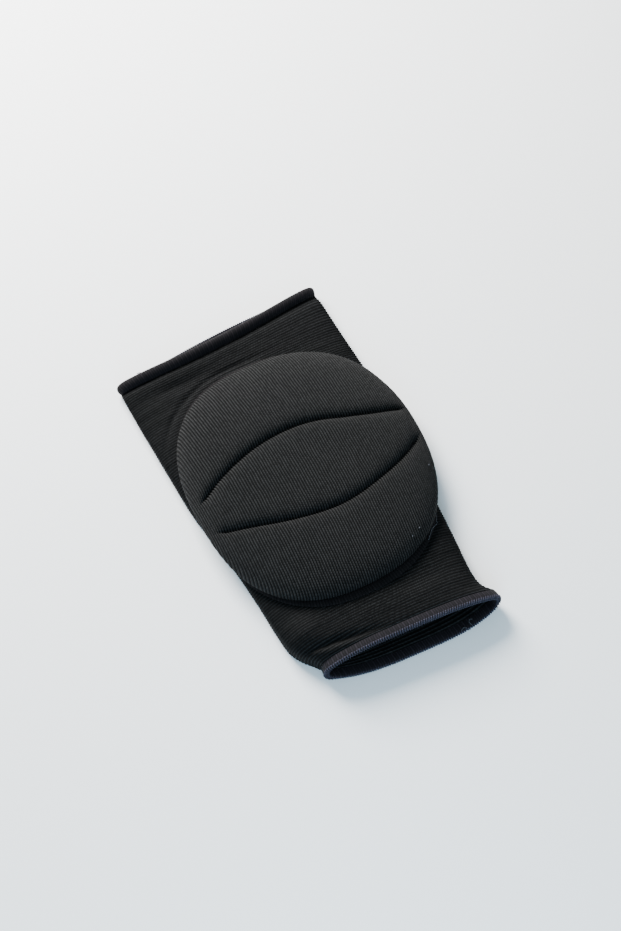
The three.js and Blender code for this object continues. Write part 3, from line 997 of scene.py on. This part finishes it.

# %% [markdown]
# A sleeve could be sewn from two panels, but no seam shows at the sides of this one, so it is one
# knitted tube. Laid open, it is once round by its length between the hems, and round is the mean of
# its two mouths. The hems, the flange and the threads are sewn to it.

# %% The sleeve as one knitted tube

# %% [markdown]
# A knit is rows of loops, too fine to model on a whole sleeve. An image of cloth would blur and
# repeat, so the material works the stitches out. It is built from small groups that other fabrics
# can use as well. The knit group turns the knit coordinates into a height: a round rib with a bead
# for each stitch. The shade group darkens the valleys between ribs, where an eye sees only shadow.

# %% Shader groups


def new_group(name, inputs, outputs):
    """An empty shader group with named sockets, and its nodes for what goes in and out."""
    group = bpy.data.node_groups.new(name, "ShaderNodeTree")
    for label, kind, value in inputs:
        socket = group.interface.new_socket(label, in_out="INPUT", socket_type=kind)
        if value is not None:
            socket.default_value = value
    for label, kind in outputs:
        group.interface.new_socket(label, in_out="OUTPUT", socket_type=kind)
    return group, group.nodes.new("NodeGroupInput"), group.nodes.new("NodeGroupOutput")


def math_node(tree, operation, *values, clamp=False):
    """One step of arithmetic, on plain numbers or on the outputs of other nodes."""
    node = tree.nodes.new("ShaderNodeMath")
    node.operation = operation
    node.use_clamp = clamp
    for slot, value in zip(node.inputs, values):
        if isinstance(value, (int, float)):
            slot.default_value = value
        else:
            tree.links.new(value, slot)
    return node.outputs[0]


def humps(tree, value):
    """A row of round humps, one to each whole step of a value."""
    wave = math_node(tree, "SINE", math_node(tree, "MULTIPLY", value, math.pi))
    return math_node(tree, "ABSOLUTE", wave)


def knit_group():
    """Height of a knitted face from its knit coordinates: ribs across U, stitches along V."""
    group, given, made = new_group(
        "Knit",
        [("Coordinates", "NodeSocketVector", None), ("Bead", "NodeSocketFloat", 0.5)],
        [("Height", "NodeSocketFloat"), ("Speck", "NodeSocketFloat")])
    split = group.nodes.new("ShaderNodeSeparateXYZ")
    group.links.new(given.outputs["Coordinates"], split.inputs[0])
    u, v = split.outputs[0], split.outputs[1]
    rib = humps(group, u)
    row = math_node(group, "FLOOR", u)
    shifted = math_node(group, "ADD", v, math_node(group, "MULTIPLY", row, 0.5))
    bead = humps(group, shifted)
    kept = math_node(group, "SUBTRACT", 1.0, given.outputs["Bead"])
    beads = math_node(group, "ADD", math_node(group, "MULTIPLY", bead, given.outputs["Bead"]), kept)
    height = math_node(group, "MULTIPLY", rib, beads)
    stitch = group.nodes.new("ShaderNodeCombineXYZ")
    group.links.new(row, stitch.inputs[0])
    group.links.new(math_node(group, "FLOOR", shifted), stitch.inputs[1])
    random = group.nodes.new("ShaderNodeTexWhiteNoise")
    random.noise_dimensions = "2D"
    group.links.new(stitch.outputs[0], random.inputs["Vector"])
    group.links.new(height, made.inputs["Height"])
    group.links.new(random.outputs["Value"], made.inputs["Speck"])
    return group


# The unevenness of the yarn: its grains to a metre, and how much it and each stitch may change
YARN_GRAIN, YARN_UNEVEN = 900, 0.5
STITCH_UNEVEN = 0.6


def shade_group():
    """A thread colour with painted shade in the valleys, and uneven from place to place."""
    group, given, made = new_group(
        "Thread shade",
        [("Thread", "NodeSocketColor", None), ("Valley shade", "NodeSocketColor", None),
         ("Height", "NodeSocketFloat", 1.0), ("Sharp", "NodeSocketFloat", 2.0),
         ("Speck", "NodeSocketFloat", 0.5), ("Vector", "NodeSocketVector", None)],
        [("Colour", "NodeSocketColor")])
    noise = group.nodes.new("ShaderNodeTexNoise")
    noise.inputs["Scale"].default_value = YARN_GRAIN
    noise.inputs["Detail"].default_value = 3
    group.links.new(given.outputs["Vector"], noise.inputs["Vector"])
    uneven = math_node(group, "MULTIPLY", math_node(group, "SUBTRACT", noise.outputs[0], 0.5),
                       YARN_UNEVEN)
    height = math_node(group, "POWER", given.outputs["Height"], given.outputs["Sharp"])
    speck = math_node(group, "MULTIPLY", given.outputs["Speck"], STITCH_UNEVEN)
    speck = math_node(group, "ADD", speck, 1 - STITCH_UNEVEN / 2)
    blend = math_node(group, "MULTIPLY", math_node(group, "ADD", height, uneven, clamp=True), speck)
    mix = group.nodes.new("ShaderNodeMix")
    mix.data_type = "RGBA"
    group.links.new(blend, mix.inputs["Factor"])
    group.links.new(given.outputs["Valley shade"], mix.inputs[6])
    group.links.new(given.outputs["Thread"], mix.inputs[7])
    group.links.new(mix.outputs[2], made.inputs["Colour"])
    return group


KNIT, SHADE = knit_group(), shade_group()
print("groups:", KNIT.name, SHADE.name)

# %% [markdown]
# Every cloth here is a matt synthetic yarn in a dark colour. A velvet or hair shader could give it
# a fuzz, but the real knit is smooth and only a little pale at a flat angle, so a plain surface
# with hardly any shine is enough. The bump adds what is finer than the modelled ribs.

# %% Materials


def linear(rgb):
    shares = [value / 255 for value in rgb]
    curve = [s / 12.92 if s <= 0.04045 else ((s + 0.055) / 1.055) ** 2.4 for s in shares]
    return (*curve, 1.0)


def cloth(piece, name, thread, valley_shade, roughness, bump, bead=0.3, sharp=2.0, sheen=0.0):
    """A knit on a piece, from the colour of its thread and the painted shade of the valleys between
    ribs.
    """
    material = bpy.data.materials.new(name)
    material.use_nodes = True
    tree = material.node_tree
    shader = tree.nodes["Principled BSDF"]
    coordinates = tree.nodes.new("ShaderNodeUVMap")
    coordinates.uv_map = "knit"
    place = tree.nodes.new("ShaderNodeTexCoord")
    knit = tree.nodes.new("ShaderNodeGroup")
    knit.node_tree = KNIT
    knit.inputs["Bead"].default_value = bead
    tree.links.new(coordinates.outputs[0], knit.inputs["Coordinates"])
    shade = tree.nodes.new("ShaderNodeGroup")
    shade.node_tree = SHADE
    shade.inputs["Sharp"].default_value = sharp
    shade.inputs["Thread"].default_value = linear(thread)
    shade.inputs["Valley shade"].default_value = linear(valley_shade)
    tree.links.new(knit.outputs["Height"], shade.inputs["Height"])
    tree.links.new(knit.outputs["Speck"], shade.inputs["Speck"])
    tree.links.new(place.outputs["Object"], shade.inputs["Vector"])
    tree.links.new(shade.outputs["Colour"], shader.inputs["Base Color"])
    relief = tree.nodes.new("ShaderNodeBump")
    relief.inputs["Strength"].default_value = 0.8
    relief.inputs["Distance"].default_value = bump
    tree.links.new(knit.outputs["Height"], relief.inputs["Height"])
    tree.links.new(relief.outputs["Normal"], shader.inputs["Normal"])
    shader.inputs["Roughness"].default_value = roughness
    shader.inputs["Specular IOR Level"].default_value = 0.1
    shader.inputs["Sheen Weight"].default_value = sheen
    shader.inputs["Sheen Roughness"].default_value = 0.5
    piece.data.materials.append(material)


# The second colour of each cloth is painted shade, for the valleys between its ribs where shadow
# falls.
cloth(sleeve, "Sleeve knit", (34, 35, 36), (0, 0, 0), 0.9, 0.5 * MM, bead=0.14, sharp=6.0)
cloth(pad, "Pad knit", (36, 36, 36), (0, 0, 0), 0.85, 0.5 * MM, bead=0.25)
cloth(flange, "Flange cloth", (24, 21, 22), (8, 7, 8), 0.9, 0.15 * MM)
# The thigh hem's cloth is a darker copy of the shin hem's: painted shade for the face of its roll,
# which turns from the key light.
cloth(thigh_hem, "Thigh hem knit", (26, 22, 25), (9, 8, 10), 0.85, 0.15 * MM, sheen=0.02)
cloth(shin_hem, "Shin hem knit", (32, 28, 33), (10, 9, 11), 0.85, 0.15 * MM, sheen=0.02)
for piece in threads:
    cloth(piece, "Thread", (58, 57, 70), (40, 40, 50), 0.8, 0.05 * MM, bead=0.0, sheen=0.02)
for piece in ends:
    cloth(piece, "Loose thread", (84, 85, 90), (66, 68, 74), 0.8, 0.05 * MM, bead=0.0, sheen=0.02)
print("materials:", len(bpy.data.materials))

# %% [markdown]
# The stage is a pale floor and a soft light from behind and above, as over a product table. Black
# cloth needs one strong side light so that its ribs cast shadows. A weak blue light near the shin
# opens the mouth, and a pale room fills the rest.

# %% The floor

FLOOR_HALF = 6.0
floor_mesh = bpy.data.meshes.new("floor")
floor_mesh.from_pydata([(x * FLOOR_HALF, y * FLOOR_HALF, 0)
                        for x, y in ((-1, -1), (1, -1), (1, 1), (-1, 1))], [], [(0, 1, 2, 3)])
floor = in_scene("floor", floor_mesh)
floor_paint = bpy.data.materials.new("Floor")
floor_paint.use_nodes = True
paint = floor_paint.node_tree.nodes["Principled BSDF"]
paint.inputs["Base Color"].default_value = (0.9, 0.9, 0.9, 1)
paint.inputs["Roughness"].default_value = 0.9
floor_mesh.materials.append(floor_paint)
floor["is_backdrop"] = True
print("floor in m:", 2 * FLOOR_HALF)

# %% Lights


def area_light(name, place, aim, width, power, colour):
    light = bpy.data.lights.new(name, "AREA")
    light.shape = "SQUARE"
    light.size = width
    light.energy = power
    light.color = colour
    lamp = in_scene(name, light)
    lamp.location = place
    lamp.rotation_euler = (Vector(aim) - Vector(place)).to_track_quat("-Z", "Y").to_euler()


area_light("key", (-0.1, 0.95, 0.64), (0, 0, 0), 0.62, 62, (1.0, 0.985, 0.965))
area_light("fill", (-0.28, -0.6, 0.32), (0, -0.06, 0), 0.4, 4.2, (0.48, 0.76, 1.0))

world = bpy.data.worlds.new("soft room")
bpy.context.scene.world = world
world.use_nodes = True
room = world.node_tree.nodes["Background"]
room.inputs["Color"].default_value = (0.74, 0.91, 1, 1)
room.inputs["Strength"].default_value = 0.75
print("lights:", len(bpy.data.lights))

# %% [markdown]
# The camera stands 29 degrees to the left of the leg's axis and 57 degrees up. It could be placed
# by hand, but a direction and a distance say more, and it follows the piece when the frame moves.

# %% The camera

AZIMUTH, ELEVATION, DISTANCE = math.radians(-29.3), math.radians(57.5), 1.2
AIM_ASIDE, AIM_FORWARD = 7.5 * MM, 14 * MM
camera_data = bpy.data.cameras.new("camera")
camera_data.lens = 73.8
camera_data.sensor_width = 36
camera = in_scene("camera", camera_data)
bpy.context.scene.camera = camera
aim = Vector((AIM_ASIDE + SHIFT[0], AIM_FORWARD + SHIFT[1], 0))
back = Vector((math.sin(AZIMUTH) * math.cos(ELEVATION), -math.cos(AZIMUTH) * math.cos(ELEVATION),
               math.sin(ELEVATION)))
camera.location = aim + back * DISTANCE
camera.rotation_euler = back.to_track_quat("Z", "Y").to_euler()
print("camera at:", [round(place, 3) for place in camera.location])

# %% [markdown]
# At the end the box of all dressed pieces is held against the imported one. Cloth may pass its solid
# a little, but a large difference would mean that a size was read wrongly.

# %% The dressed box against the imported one

bpy.context.view_layer.update()
dressed_box = [list(map(float, corner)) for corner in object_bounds()]
for corner, (was, now) in enumerate(zip(cad_box, dressed_box)):
    print("corner", corner, "moved in mm:", [round((n - w) / MM, 2) for w, n in zip(was, now)])
